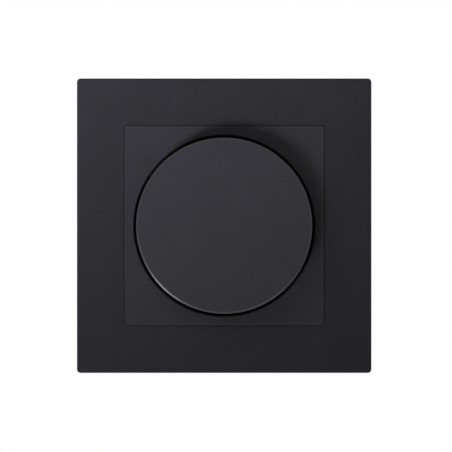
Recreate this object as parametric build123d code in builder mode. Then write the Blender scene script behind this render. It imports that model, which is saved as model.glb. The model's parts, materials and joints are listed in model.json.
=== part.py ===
from build123d import *
from math import atan2, cos, degrees, pi, radians, sin, sqrt, tan

# Flush-mounted wall dimmer, pressed to switch and turned to dim. Sizes are in millimetres.
# The origin is on the wall at the middle of the dimmer, +Z is up and +Y goes into the wall.
# Heights are measured from the wall towards the viewer, so pieces in the wall box have negative ones.

# Control knob
knob_diameter = 48.0
knob_proud = 9.0  # knob face in front of the cover frame
knob_face = 1.8  # thickness of the face
knob_wall = 1.6  # thickness of the skirt
knob_edge = 0.5  # width of the sloped rim of the face
knob_edge_drop = 0.15  # how far the rim slopes back
knob_rib = 1.0  # thickness of the ribs behind the face
knob_rib_depth = 3.2
knob_rib_count = 6
hub_wall = 1.7  # round the shaft
press_travel = 1.5
press_clear = 0.7  # left behind the knob when it is pressed home
turn_limit = 140.0  # degrees each way from the middle

# Leaf spring in the knob's bore
clip_thickness = 0.35
clip_width = 2.6
clip_length = 4.6
clip_fit = 0.05

# Centre plate
knob_gap = 0.85  # between the knob and the wall of its well
plate_margin = 2.65  # narrowest rim between the well and the edge
plate_corner = 0.8
plate_edge = 0.2
plate_flange = 2.0  # thickness of the square rim
well_edge = 0.4
well_wall = 1.3
well_floor = 1.5
leg_width = 2.6
leg_inset = 4.0  # middle of a leg from the plate's edge
leg_fit = 0.2  # each side of a leg in its window
leg_short = 0.2  # leg ends this far in front of the wall
web_thickness = 1.2
web_depth = 3.0

# Damping ring on the floor of the well, behind the knob's skirt
damper_width = 2.0
damper_thickness = 0.5
damper_fit = 0.1  # to the wall of the well

# Cover frame
frame_depth = 9.5
frame_wall = 1.8
frame_skin = 2.4
frame_corner = 1.0
frame_edge = 0.6
opening_edge = 0.12
seam = 0.07  # each side of the centre plate
ledge_width = 0.9  # ledge that the plate holds down
ledge_height = 1.4
collar_wall = 1.6
frame_rib = 1.0
frame_rib_spacing = 40.0
frame_rib_clear = 0.5  # in front of the ring's folded edges

# Support ring of sheet steel
fixing_spacing = 60.0
slot_width = 3.6
slot_length = 5.6
ring_edge = 5.5  # beyond the middle of a fixing slot
ring_gap = 3.2  # between the ring and the wall of the frame
ring_thickness = 1.0
ring_corner = 5.0
ring_fold = 2.2  # height of the folded edges
ring_fold_length = 42.0

# Insert in the wall box: round, with two flat sides and a flat terminal side
body_diameter = 53.0
body_width = 41.0
terminal_flat = 2.5  # cut off the round on the terminal side
body_corner = 1.5
body_wall = 1.5
body_floor = 1.6
body_back_edge = 1.0
opening_inset = 3.2  # ring's opening inside the housing's outline
cap_overlap = 2.2  # front cap over the ring
cap_fit = 0.15  # front cap in the ring's opening
cap_height = 2.4  # in front of the ring
cap_wall = 1.8
cap_edge = 0.5
skirt_wall = 1.2

# Screws that close the insert
cap_screw_diameter = 2.2
cap_screw_length = 9.0
cap_head_diameter = 4.0
cap_head_height = 1.4
cap_head_sunk = 0.2  # below the face of the cap
head_clear = 0.2
screw_fit = 0.05
driver_slot_width = 0.7
driver_slot_depth = 0.7
boss_wall = 0.5
boss_seat = 2.2  # material under a screw head
boss_margin = 0.45  # boss inside the skirt
cap_screw_rise = 24.0  # spacing up and down
pillar_neck_wall = 1.15
pillar_shoulder = 0.7  # carries the circuit board
pilot_spare = 0.8

# Rotary control
shaft_diameter = 6.0
shaft_flat = 0.75  # depth of the flat
shaft_fit = 0.05
shaft_clear = 0.3  # round the shaft where nothing guides it
shaft_end_clear = 0.4
shaft_chamfer = 0.4
shaft_tail = 0.5  # behind the retaining ring
bush_diameter = 10.0
bush_fit = 0.1
bush_flange = 1.4
bush_proud = 0.6  # in front of the nut
bush_key_diameter = 2.0
bush_key_radius = 6.4  # from the shaft
bush_key_height = 1.2
nut_width = 14.0
nut_thickness = 2.4
nut_chamfer = 0.4
pot_diameter = 17.0
pot_depth = 6.2
pot_wall = 0.8
pot_flange_step = 0.5  # flange of the bush inside the can's edge
wafer_thickness = 0.8
wafer_gap = 0.2
wafer_tongue = 7.2  # width of the tongue that carries the pins
tongue_reach = 1.3  # tongue outside the can
pin_count = 3
pin_pitch = 2.5
pin_width = 0.8
pin_thickness = 0.5
pin_reach = 0.7  # middle of the pins outside the can
pin_tail = 1.0  # behind the circuit board
pin_clear = 0.15
rotor_clear = 0.4  # ends of the rotor
rotor_disc = 2.0
rotor_rim_gap = 1.2  # rim of the rotor inside the can
rotor_hub_wall = 1.3
lug_width = 2.0
lug_gap = 0.3
stop_gap = 0.35
stop_play = 1.5  # degrees past the turn limit
finger_plate = 0.25
finger_width = 1.0
circlip_thickness = 0.6
circlip_clear = 0.1
circlip_groove = 0.55
circlip_reach = 1.3
circlip_mouth = 3.6

# Push switch behind the control
switch_size = 12.2
switch_wall = 0.8
lid_thickness = 1.0
lid_clear = 0.4
plunger_diameter = 4.8
plunger_flange = 0.8
plunger_rim = 1.2  # flange beyond the stem
plunger_spigot = 2.4
spigot_length = 1.2
face_gap = 0.05  # between faces that press on each other
bridge_thickness = 0.3
bridge_width = 3.0
bridge_side_gap = 0.6
contact_width = 1.4
contact_thickness = 0.8
contact_inset = 1.2
spring_length = 3.1
spring_wire = 0.4
spring_diameter = 4.4
spring_turns = 3.5
spring_runs = 12  # straight runs that stand for one turn
spring_sides = 6

# Circuit board and what stands on it
board_thickness = 1.6
board_gap = 0.4
board_hole_gap = 0.2
choke_outer = 13.0
choke_inner = 6.6
choke_height = 5.4
choke_layer = 0.4
choke_wire = 0.7
choke_turns = 14
choke_clear = 0.6
device_width = 8.2
device_thickness = 3.0
device_height = 6.4
device_lift = 2.0
device_tab = 1.0
device_tab_height = 3.4
device_hole = 2.6
device_gap = 0.6
lead_count = 3
lead_pitch = 2.2
lead_width = 0.7
sink_thickness = 1.2
sink_height = 12.0
sink_gap = 0.3
film_width = 13.0
film_depth = 5.6
film_height = 9.0
film_edge = 0.6
part_gap = 1.0  # between parts on the board
storage_diameter = 6.3
storage_height = 10.0
storage_groove = 0.4
chip_length = 8.6
chip_width = 3.6
chip_height = 1.4
chip_span = 5.2  # over the legs
chip_leg = 0.5
chip_leg_pitch = 1.2
chip_leg_count = 7
fuse_diameter = 5.0
fuse_length = 15.0
fuse_cap_wall = 0.15
fuse_cap_length = 4.0
fuse_lift = 1.2
fuse_clip_sheet = 0.4
fuse_clip_width = 2.8
fuse_from_wall = 2.6

# Screw terminals
terminal_count = 3
terminal_pitch = 7.5
cage_width = 6.2
cage_height = 7.0
cage_depth = 7.0
cage_wall = 0.8
cage_gap = 0.2
wire_entry = 3.6
funnel = 0.5
terminal_screw_diameter = 3.0
terminal_head_diameter = 4.2
terminal_head_height = 1.3
terminal_hole_gap = 0.25
divider = 0.7

# Vents in the back
vent_count = 5
vent_pitch = 3.6
vent_width = 1.5
vent_length = 9.0
vent_rise = 12.0

# Spreading claws and their screws
claw_sheet = 1.2
claw_width = 9.0
claw_bend = 1.0
claw_gap = 0.4
claw_offset = 8.0  # right claw below the middle, left claw above
claw_pivot_depth = 4.0
claw_lug = 6.4
claw_leg = 14.4
claw_foot = 3.3
claw_tooth = 1.2
claw_slot_gap = 0.4
claw_slot_end = 1.05
claw_slot_leg = 7.0
trunnion_diameter = 1.6
trunnion_fit = 0.05
cheek = 1.2
cheek_gap = 0.25
cheek_reach = 2.6
cheek_height = 4.4
cheek_mouth = 1.3
claw_screw_arm = 3.0  # from the pivot
claw_screw_diameter = 3.0
claw_screw_length = 10.0
claw_screw_fit = 0.1
claw_head_diameter = 5.8
claw_head_height = 1.8
claw_head_edge = 0.5

# Radii and outlines that follow
knob_radius = knob_diameter / 2
well_radius = knob_radius + knob_gap
plate_size = 2 * (well_radius + plate_margin)
leg_spacing = plate_size - 2 * leg_inset
ring_size = fixing_spacing + 2 * ring_edge
frame_size = ring_size + 2 * (ring_gap + frame_wall)
cavity_size = frame_size - 2 * frame_wall
frame_opening = plate_size + 2 * seam
ledge_opening = plate_size - 2 * ledge_width
collar_size = frame_opening + 2 * collar_wall
body_bottom = body_diameter / 2 - terminal_flat
skirt_inset = opening_inset + cap_fit
shaft_radius = shaft_diameter / 2
shaft_flat_at = shaft_radius - shaft_flat
bush_radius = bush_diameter / 2
hub_radius = shaft_radius + hub_wall
pot_radius = pot_diameter / 2
pot_bore = pot_radius - pot_wall
boss_radius = cap_head_diameter / 2 + head_clear + boss_wall
cap_screw_run = body_width - 2 * (skirt_inset + boss_radius + boss_margin)
pilot_radius = cap_screw_diameter / 2 + screw_fit
neck_radius = pilot_radius + pillar_neck_wall
pillar_radius = neck_radius + pillar_shoulder
claw_pivot = body_width / 2 + claw_gap + claw_sheet / 2
claw_screw_at = claw_pivot + claw_screw_arm

# Heights that follow, from the wall to the viewer
cap_front = ring_thickness + cap_height
cap_back = cap_front - cap_wall
floor_front = cap_front + well_floor
plate_back = frame_depth - plate_flange
skin_back = frame_depth - frame_skin
collar_back = plate_back - ledge_height
frame_rib_back = ring_thickness + ring_fold + frame_rib_clear
nut_front = floor_front + nut_thickness
bush_front = nut_front + bush_proud
hub_back = bush_front + press_travel + press_clear
skirt_back = floor_front + press_travel + press_clear
knob_front = frame_depth + knob_proud
face_back = knob_front - knob_face
shaft_front = face_back - shaft_end_clear
head_seat = cap_front - cap_head_sunk - cap_head_height
boss_back = head_seat - boss_seat

# Heights that follow, from the wall into the box
flange_back = cap_back - bush_flange
can_back = flange_back - pot_depth
can_floor = can_back + pot_wall
wafer_front = can_floor + wafer_thickness
rotor_front = flange_back - rotor_clear
rotor_back = wafer_front + rotor_clear
disc_back = (rotor_front + rotor_back - rotor_disc) / 2
circlip_front = can_back - circlip_clear
circlip_back = circlip_front - circlip_thickness
shaft_back = circlip_back - shaft_tail
plunger_front = shaft_back - face_gap
lid_front = shaft_back - press_travel - lid_clear
lid_back = lid_front - lid_thickness
plunger_stop = lid_back - face_gap
bridge_front = plunger_stop - plunger_flange
bridge_back = bridge_front - bridge_thickness
contact_front = bridge_back - press_travel - face_gap
switch_floor = bridge_back - spring_length
board_front = switch_floor - switch_wall
board_back = board_front - board_thickness
cage_back = board_back - cage_depth
floor_inside = cage_back - cage_gap
housing_back = floor_inside - body_floor
pilot_back = head_seat - cap_screw_length - pilot_spare
pin_back = board_back - pin_tail


def facing(height):
    # Plane parallel to the wall at this height, seen by the viewer with X to the right and Z up
    return Plane(origin=(0, -height, 0), x_dir=(1, 0, 0), z_dir=(0, -1, 0))


def across(level):
    # Level plane at this Z, with X across and height up
    return Plane(origin=(0, 0, level), x_dir=(1, 0, 0), z_dir=(0, 0, -1))


def upward(x, height, level):
    # Plane that looks up from this point
    return Plane(origin=(x, -height, level), x_dir=(1, 0, 0), z_dir=(0, 0, 1))


def insert_outline(inset):
    # Outline of the insert, drawn this far inside the housing's own
    with BuildSketch(mode=Mode.PRIVATE) as outline:
        Circle(body_diameter / 2 - inset)
        Rectangle(body_width - 2 * inset, body_diameter, mode=Mode.INTERSECT)
        with Locations((0, inset - body_bottom)):
            Rectangle(body_diameter, body_diameter, align=(Align.CENTER, Align.MIN), mode=Mode.INTERSECT)
        fillet(outline.vertices(), body_corner)
    return outline.sketch


def flatted_circle(radius, flat):
    # Circle with a flat on top, this far from its middle
    with BuildSketch(mode=Mode.PRIVATE) as profile:
        Circle(radius)
        with Locations((0, flat)):
            Rectangle(2 * radius, radius, align=(Align.CENTER, Align.MIN), mode=Mode.SUBTRACT)
    return profile.sketch


# Cover frame: a shallow square box with a ledge round its opening and ribs behind its face
with BuildPart() as cover_frame:
    with BuildSketch(facing(0)):
        RectangleRounded(frame_size, frame_size, frame_corner)
    extrude(amount=frame_depth)
    fillet(cover_frame.faces().sort_by(Axis.Y)[0].edges(), frame_edge)
    with BuildSketch(facing(0)):
        Rectangle(cavity_size, cavity_size)
    extrude(amount=skin_back, mode=Mode.SUBTRACT)
    with BuildSketch(facing(collar_back)):
        Rectangle(collar_size, collar_size)
    extrude(amount=skin_back - collar_back)
    rib_length = (cavity_size - collar_size) / 2
    with BuildSketch(facing(frame_rib_back)):
        with PolarLocations((cavity_size + collar_size) / 4, 4):
            with GridLocations(1, frame_rib_spacing, 1, 2):
                Rectangle(rib_length, frame_rib)
    extrude(amount=skin_back - frame_rib_back)
    with BuildSketch(facing(collar_back)):
        Rectangle(ledge_opening, ledge_opening)
    extrude(amount=frame_depth - collar_back, mode=Mode.SUBTRACT)
    with BuildSketch(facing(plate_back)):
        RectangleRounded(frame_opening, frame_opening, plate_corner + seam)
    extrude(amount=plate_flange, mode=Mode.SUBTRACT)
    chamfer(cover_frame.faces().sort_by(Axis.Y)[0].inner_wires().edges(), opening_edge)
cover_frame.part.label = "cover_frame"
export_step(cover_frame.part, "parts/cover_frame.step")

# Centre plate: square rim, round well, four legs that stand in the windows of the ring
with BuildPart() as centre_plate:
    with BuildSketch(facing(plate_back)):
        RectangleRounded(plate_size, plate_size, plate_corner)
    extrude(amount=plate_flange)
    chamfer(centre_plate.faces().sort_by(Axis.Y)[0].edges(), plate_edge)
    with BuildSketch(facing(cap_front)):
        Circle(well_radius + well_wall)
    extrude(amount=plate_back - cap_front)
    with BuildSketch(facing(floor_front)):
        Circle(well_radius)
    extrude(amount=frame_depth - floor_front, mode=Mode.SUBTRACT)
    chamfer(centre_plate.faces().sort_by(Axis.Y)[0].inner_wires().edges(), well_edge)
    with BuildSketch(facing(cap_front)):
        Circle(bush_radius + bush_fit)
    extrude(amount=well_floor, mode=Mode.SUBTRACT)
    with BuildSketch(facing(leg_short)):
        with GridLocations(leg_spacing, leg_spacing, 2, 2):
            Rectangle(leg_width, leg_width)
    extrude(amount=plate_back - leg_short)
    web_start = well_radius + well_wall / 2
    web_end = leg_spacing / sqrt(2)
    with BuildSketch(facing(plate_back - web_depth)):
        with PolarLocations((web_start + web_end) / 2, 4, start_angle=45):
            Rectangle(web_end - web_start, web_thickness)
    extrude(amount=web_depth)
centre_plate.part.label = "centre_plate"
export_step(centre_plate.part, "parts/centre_plate.step")

# Damping ring: soft ring that keeps the gap round the knob dark and quiet
with BuildPart() as damping_ring:
    with BuildSketch(facing(floor_front)):
        Circle(well_radius - damper_fit)
        Circle(well_radius - damper_fit - damper_width, mode=Mode.SUBTRACT)
    extrude(amount=damper_thickness)
damping_ring.part.label = "damping_ring"
export_step(damping_ring.part, "parts/damping_ring.step")

# Nut on the threaded bush, which clamps the plate
with BuildPart() as plate_nut:
    with BuildSketch(facing(floor_front)):
        RegularPolygon(nut_width / 2, 6, major_radius=False)
    extrude(amount=nut_thickness)
    chamfer(plate_nut.faces().sort_by(Axis.Y)[0].edges(), nut_chamfer)
    with BuildSketch(facing(floor_front)):
        Circle(bush_radius + screw_fit)
    extrude(amount=nut_thickness, mode=Mode.SUBTRACT)
plate_nut.part.label = "plate_nut"
export_step(plate_nut.part, "parts/plate_nut.step")

# Control knob: hollow, with a hub on the shaft and ribs behind the face
with BuildPart() as control_knob:
    skirt_inner = knob_radius - knob_wall
    with BuildSketch(across(0)):
        with BuildLine():
            Polyline(
                (0, knob_front),
                (knob_radius - knob_edge, knob_front),
                (knob_radius, knob_front - knob_edge_drop),
                (knob_radius, skirt_back),
                (skirt_inner, skirt_back),
                (skirt_inner, face_back),
                (hub_radius, face_back),
                (hub_radius, hub_back),
                (0, hub_back),
                close=True,
            )
        make_face()
    revolve(axis=Axis.Y)
    with BuildSketch(facing(face_back - knob_rib_depth)):
        with PolarLocations((skirt_inner + hub_radius) / 2, knob_rib_count):
            Rectangle(skirt_inner - hub_radius + hub_wall, knob_rib)
    extrude(amount=knob_rib_depth)
    with BuildSketch(facing(hub_back)):
        add(flatted_circle(shaft_radius + shaft_fit, shaft_flat_at + shaft_fit))
        with Locations((0, shaft_flat_at)):
            Rectangle(
                clip_width + 2 * clip_fit,
                clip_thickness + 2 * clip_fit,
                align=(Align.CENTER, Align.MIN),
            )
    extrude(amount=face_back - hub_back, mode=Mode.SUBTRACT)
control_knob.part.label = "control_knob"
export_step(control_knob.part, "parts/control_knob.step")

# Leaf spring between the flat of the shaft and the knob's bore
with BuildPart() as knob_clip:
    with BuildSketch(facing(hub_back + shaft_end_clear)):
        with Locations((0, shaft_flat_at + clip_fit)):
            Rectangle(clip_width, clip_thickness, align=(Align.CENTER, Align.MIN))
    extrude(amount=clip_length)
knob_clip.part.label = "knob_clip"
export_step(knob_clip.part, "parts/knob_clip.step")

# Support ring: sheet steel with folded edges, fixing slots, leg windows and claw screw holes
with BuildPart() as support_ring:
    with BuildSketch(facing(0)):
        RectangleRounded(ring_size, ring_size, ring_corner)
    extrude(amount=ring_thickness)
    with BuildSketch(facing(0)):
        with PolarLocations((ring_size - ring_thickness) / 2, 4):
            Rectangle(ring_thickness, ring_fold_length)
    extrude(amount=ring_thickness + ring_fold)
    with BuildSketch(facing(0)):
        add(insert_outline(opening_inset))
        with GridLocations(fixing_spacing, 0, 2, 1):
            SlotOverall(slot_length, slot_width)
        with GridLocations(0, fixing_spacing, 1, 2):
            SlotOverall(slot_length, slot_width, rotation=90)
        with GridLocations(leg_spacing, leg_spacing, 2, 2):
            Rectangle(leg_width + 2 * leg_fit, leg_width + 2 * leg_fit)
        with Locations((claw_screw_at, -claw_offset), (-claw_screw_at, claw_offset)):
            Circle(claw_screw_diameter / 2 + claw_screw_fit)
    extrude(amount=ring_thickness, mode=Mode.SUBTRACT)
support_ring.part.label = "support_ring"
export_step(support_ring.part, "parts/support_ring.step")

# Front cap: plugs the ring's opening and carries the rotary control
with BuildPart() as front_cap:
    with BuildSketch(facing(ring_thickness)):
        add(insert_outline(opening_inset - cap_overlap))
    extrude(amount=cap_height)
    chamfer(front_cap.faces().sort_by(Axis.Y)[0].edges(), cap_edge)
    with BuildSketch(facing(boss_back)):
        add(insert_outline(skirt_inset))
    extrude(amount=ring_thickness - boss_back)
    with BuildSketch(facing(boss_back)):
        add(insert_outline(skirt_inset + skirt_wall))
    extrude(amount=cap_back - boss_back, mode=Mode.SUBTRACT)
    with BuildSketch(facing(boss_back)):
        with GridLocations(cap_screw_run, cap_screw_rise, 2, 2):
            Circle(boss_radius)
    extrude(amount=cap_back - boss_back)
    with BuildSketch(facing(head_seat)):
        with GridLocations(cap_screw_run, cap_screw_rise, 2, 2):
            Circle(cap_head_diameter / 2 + head_clear)
    extrude(amount=cap_front - head_seat, mode=Mode.SUBTRACT)
    with BuildSketch(facing(boss_back)):
        with GridLocations(cap_screw_run, cap_screw_rise, 2, 2):
            Circle(cap_screw_diameter / 2 + screw_fit)
    extrude(amount=boss_seat, mode=Mode.SUBTRACT)
    with BuildSketch(facing(cap_back)):
        Circle(bush_radius + bush_fit)
        with Locations((0, bush_key_radius)):
            Circle(bush_key_diameter / 2 + bush_fit)
    extrude(amount=cap_wall, mode=Mode.SUBTRACT)
front_cap.part.label = "front_cap"
export_step(front_cap.part, "parts/front_cap.step")

# Four screws that draw the two halves of the insert together over the ring
with BuildPart() as cap_screws:
    with BuildSketch(facing(head_seat)):
        with GridLocations(cap_screw_run, cap_screw_rise, 2, 2):
            Circle(cap_head_diameter / 2)
    extrude(amount=cap_head_height)
    with BuildSketch(facing(head_seat + cap_head_height - driver_slot_depth)):
        with GridLocations(cap_screw_run, cap_screw_rise, 2, 2):
            Rectangle(cap_head_diameter, driver_slot_width)
    extrude(amount=driver_slot_depth, mode=Mode.SUBTRACT)
    with BuildSketch(facing(head_seat - cap_screw_length)):
        with GridLocations(cap_screw_run, cap_screw_rise, 2, 2):
            Circle(cap_screw_diameter / 2)
    extrude(amount=cap_screw_length)
cap_screws.part.label = "cap_screws"
export_step(cap_screws.part, "parts/cap_screws.step")

# Rear housing: moulded cup with board pillars, terminal bay, vents and claw bearings
cage_bottom = body_wall + cage_gap - body_bottom
cage_top = cage_bottom + cage_height
wire_level = cage_top - cage_wall - wire_entry / 2
cage_middle = (board_back + cage_back) / 2
cheek_spread = claw_width / 2 + cheek_gap + cheek / 2
with BuildPart() as rear_housing:
    with BuildSketch(facing(housing_back)):
        add(insert_outline(0))
    extrude(amount=-housing_back)
    chamfer(rear_housing.faces().sort_by(Axis.Y)[-1].edges(), body_back_edge)
    with BuildSketch(facing(floor_inside)):
        add(insert_outline(body_wall))
    extrude(amount=-floor_inside, mode=Mode.SUBTRACT)
    with BuildSketch(facing(floor_inside)):
        with GridLocations(cap_screw_run, cap_screw_rise, 2, 2):
            Circle(pillar_radius)
    extrude(amount=board_back - floor_inside)
    with BuildSketch(facing(floor_inside)):
        with GridLocations(cap_screw_run, cap_screw_rise, 2, 2):
            Circle(neck_radius)
    extrude(amount=boss_back - floor_inside)
    with BuildSketch(facing(pilot_back)):
        with GridLocations(cap_screw_run, cap_screw_rise, 2, 2):
            Circle(pilot_radius)
    extrude(amount=boss_back - pilot_back, mode=Mode.SUBTRACT)
    # Walls between the terminals
    with BuildSketch(facing(floor_inside)):
        with Locations((0, cage_top)):
            with GridLocations(terminal_pitch, 1, terminal_count - 1, 1):
                Rectangle(divider, cage_height + cage_gap, align=(Align.CENTER, Align.MAX))
    extrude(amount=cage_depth)
    # Wire entries with a lead-in, and vents
    with BuildSketch(facing(housing_back)):
        with Locations((0, wire_level)):
            with GridLocations(terminal_pitch, 1, terminal_count, 1):
                Rectangle(wire_entry, wire_entry)
        with Locations((0, vent_rise)):
            with GridLocations(vent_pitch, 1, vent_count, 1):
                SlotOverall(vent_length, vent_width, rotation=90)
    extrude(amount=body_floor, mode=Mode.SUBTRACT)
    with BuildSketch(facing(housing_back)):
        with Locations((0, wire_level)):
            with GridLocations(terminal_pitch, 1, terminal_count, 1):
                Rectangle(wire_entry + 2 * funnel, wire_entry + 2 * funnel)
    extrude(amount=funnel, mode=Mode.SUBTRACT)
    # Holes to reach the terminal screws from below
    with BuildSketch(upward(0, cage_middle, -body_bottom)):
        with GridLocations(terminal_pitch, 1, terminal_count, 1):
            Circle(terminal_head_diameter / 2 + terminal_hole_gap)
    extrude(amount=body_wall, mode=Mode.SUBTRACT)
    # Cheeks on the flat sides, with open bearings that the claws snap into
    for side in (1, -1):
        for edge in (1, -1):
            with BuildSketch(across(edge * cheek_spread - side * claw_offset)):
                with Locations((side * (body_width + cheek_reach - body_wall) / 2, -claw_pivot_depth)):
                    Rectangle(cheek_reach + body_wall, cheek_height)
                with Locations((side * claw_pivot, -claw_pivot_depth)):
                    Circle(trunnion_diameter / 2 + trunnion_fit, mode=Mode.SUBTRACT)
                with Locations((side * (claw_pivot + cheek_reach / 2), -claw_pivot_depth)):
                    Rectangle(cheek_reach, cheek_mouth, mode=Mode.SUBTRACT)
            extrude(amount=cheek / 2, both=True)
rear_housing.part.label = "rear_housing"
export_step(rear_housing.part, "parts/rear_housing.step")

# Right claw: bent from sheet, with a toothed foot and a slot for its screw
with BuildPart() as claw_right:
    with BuildSketch(across(-claw_offset)):
        with BuildLine() as strip:
            FilletPolyline(
                (claw_pivot + claw_lug, -claw_pivot_depth),
                (claw_pivot, -claw_pivot_depth),
                (claw_pivot, -claw_pivot_depth - claw_leg),
                (claw_pivot + claw_foot, -claw_pivot_depth - claw_leg),
                radius=claw_bend,
            )
        trace(strip.edges(), claw_sheet)
    extrude(amount=claw_width / 2, both=True)
    # One slot runs from the lug down the leg, so that the screw clears both
    slot_inner = claw_pivot - claw_sheet
    slot_outer = claw_pivot + claw_lug - claw_slot_end
    with BuildSketch(across(-claw_offset)):
        with Locations(((slot_inner + slot_outer) / 2, claw_sheet - claw_pivot_depth)):
            Rectangle(
                slot_outer - slot_inner,
                claw_slot_leg + claw_sheet,
                align=(Align.CENTER, Align.MAX),
            )
    extrude(amount=claw_screw_diameter / 2 + claw_slot_gap, both=True, mode=Mode.SUBTRACT)
    # Teeth along the edge of the foot
    foot_edge = claw_pivot + claw_foot
    with BuildSketch(facing(-claw_pivot_depth - claw_leg - claw_sheet)):
        with Locations((foot_edge, -claw_offset)):
            with GridLocations(1, claw_width / 3, 1, 2):
                Polygon((0, claw_width / 6), (0, -claw_width / 6), (-claw_tooth, 0), align=None)
    extrude(amount=2 * claw_sheet, mode=Mode.SUBTRACT)
    # Trunnions that turn in the bearings of the housing
    trunnion_end = cheek_spread + cheek / 2
    for edge in (1, -1):
        with BuildSketch(across(edge * (claw_width / 2 + trunnion_end) / 2 - claw_offset)):
            with Locations((claw_pivot, -claw_pivot_depth)):
                Circle(trunnion_diameter / 2)
        extrude(amount=(trunnion_end - claw_width / 2) / 2, both=True)
claw_right.part.label = "claw_right"
export_step(claw_right.part, "parts/claw_right.step")

# Left claw: the same piece turned half round
with BuildPart() as claw_left:
    add(claw_right.part.rotate(Axis.Y, 180))
claw_left.part.label = "claw_left"
export_step(claw_left.part, "parts/claw_left.step")

# Right claw screw: slotted head on the ring, shank through the lug
with BuildPart() as claw_screw_right:
    with BuildSketch(facing(ring_thickness + face_gap)):
        with Locations((claw_screw_at, -claw_offset)):
            Circle(claw_head_diameter / 2)
    extrude(amount=claw_head_height)
    chamfer(claw_screw_right.faces().sort_by(Axis.Y)[0].edges(), claw_head_edge)
    with BuildSketch(facing(ring_thickness + face_gap + claw_head_height - driver_slot_depth)):
        with Locations((claw_screw_at, -claw_offset)):
            Rectangle(claw_head_diameter, driver_slot_width)
    extrude(amount=driver_slot_depth, mode=Mode.SUBTRACT)
    with BuildSketch(facing(ring_thickness - claw_screw_length)):
        with Locations((claw_screw_at, -claw_offset)):
            Circle(claw_screw_diameter / 2)
    extrude(amount=claw_screw_length + face_gap)
claw_screw_right.part.label = "claw_screw_right"
export_step(claw_screw_right.part, "parts/claw_screw_right.step")

# Left claw screw: the same piece turned half round
with BuildPart() as claw_screw_left:
    add(claw_screw_right.part.rotate(Axis.Y, 180))
claw_screw_left.part.label = "claw_screw_left"
export_step(claw_screw_left.part, "parts/claw_screw_left.step")

# Threaded bush with a flange and a key that stops it turning in the cap
with BuildPart() as pot_bushing:
    with BuildSketch(facing(flange_back)):
        Circle(pot_radius - pot_flange_step)
    extrude(amount=bush_flange)
    with BuildSketch(facing(cap_back)):
        Circle(bush_radius)
    extrude(amount=bush_front - cap_back)
    chamfer(pot_bushing.faces().sort_by(Axis.Y)[0].edges(), shaft_chamfer)
    with BuildSketch(facing(cap_back)):
        with Locations((0, bush_key_radius)):
            Circle(bush_key_diameter / 2)
    extrude(amount=bush_key_height)
    with BuildSketch(facing(flange_back)):
        Circle(shaft_radius + shaft_fit)
    extrude(amount=bush_front - flange_back, mode=Mode.SUBTRACT)
pot_bushing.part.label = "pot_bushing"
export_step(pot_bushing.part, "parts/pot_bushing.step")

# Can of the rotary control, with the end stop for the rotor's lug and a slot for the wafer's tongue
rotor_radius = pot_bore - rotor_rim_gap
stop_radius = rotor_radius + stop_gap
lug_half_angle = degrees(atan2(lug_width / 2, stop_radius))
stop_half_angle = 180 - turn_limit - lug_half_angle - stop_play
wedge_half_width = pot_diameter * tan(radians(stop_half_angle))
with BuildPart() as pot_case:
    with BuildSketch(facing(can_back)):
        Circle(pot_radius)
    extrude(amount=pot_depth)
    with BuildSketch(facing(can_floor)):
        Circle(pot_bore)
    extrude(amount=flange_back - can_floor, mode=Mode.SUBTRACT)
    with BuildSketch(facing(rotor_back)):
        Circle(pot_bore + pot_wall / 2)
        Circle(stop_radius, mode=Mode.SUBTRACT)
        Polygon(
            (0, 0),
            (-wedge_half_width, -pot_diameter),
            (wedge_half_width, -pot_diameter),
            align=None,
            mode=Mode.INTERSECT,
        )
    extrude(amount=rotor_front - rotor_back)
    with BuildSketch(facing(can_floor)):
        Rectangle(wafer_tongue + 2 * wafer_gap, pot_radius, align=(Align.CENTER, Align.MAX))
    extrude(amount=wafer_thickness + wafer_gap, mode=Mode.SUBTRACT)
    with BuildSketch(facing(can_back)):
        Circle(shaft_radius + shaft_clear)
    extrude(amount=pot_wall, mode=Mode.SUBTRACT)
pot_case.part.label = "pot_case"
export_step(pot_case.part, "parts/pot_case.step")

# Resistance wafer on the floor of the can, with a tongue that comes out of it
pin_level = -pot_radius - pin_reach
with BuildPart() as track_wafer:
    with BuildSketch(facing(can_floor)):
        Circle(pot_bore - wafer_gap)
        with Locations((0, -pot_radius - tongue_reach)):
            Rectangle(wafer_tongue, pot_radius, align=(Align.CENTER, Align.MIN))
        Circle(shaft_radius + 2 * shaft_clear, mode=Mode.SUBTRACT)
        with Locations((0, pin_level)):
            with GridLocations(pin_pitch, 1, pin_count, 1):
                Rectangle(pin_width + 2 * screw_fit, pin_thickness + 2 * screw_fit, mode=Mode.SUBTRACT)
    extrude(amount=wafer_thickness)
track_wafer.part.label = "track_wafer"
export_step(track_wafer.part, "parts/track_wafer.step")

# Pins from the wafer through the circuit board
with BuildPart() as track_pins:
    with BuildSketch(facing(pin_back)):
        with Locations((0, pin_level)):
            with GridLocations(pin_pitch, 1, pin_count, 1):
                Rectangle(pin_width, pin_thickness)
    extrude(amount=wafer_front - pin_back)
track_pins.part.label = "track_pins"
export_step(track_pins.part, "parts/track_pins.step")

# Rotor that the shaft turns and slides through, with the lug that meets the end stop
rotor_hub_radius = shaft_radius + shaft_fit + rotor_hub_wall
with BuildPart() as wiper_rotor:
    with BuildSketch(facing(rotor_back)):
        Circle(rotor_hub_radius)
    extrude(amount=rotor_front - rotor_back)
    with BuildSketch(facing(disc_back)):
        Circle(rotor_radius)
        with BuildSketch(mode=Mode.PRIVATE) as lug:
            Circle(pot_bore - lug_gap)
            Rectangle(lug_width, pot_radius, align=(Align.CENTER, Align.MIN), mode=Mode.INTERSECT)
        add(lug.sketch)
    extrude(amount=rotor_disc)
    with BuildSketch(facing(rotor_back)):
        add(flatted_circle(shaft_radius + shaft_fit, shaft_flat_at + shaft_fit))
    extrude(amount=rotor_front - rotor_back, mode=Mode.SUBTRACT)
wiper_rotor.part.label = "wiper_rotor"
export_step(wiper_rotor.part, "parts/wiper_rotor.step")

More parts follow.
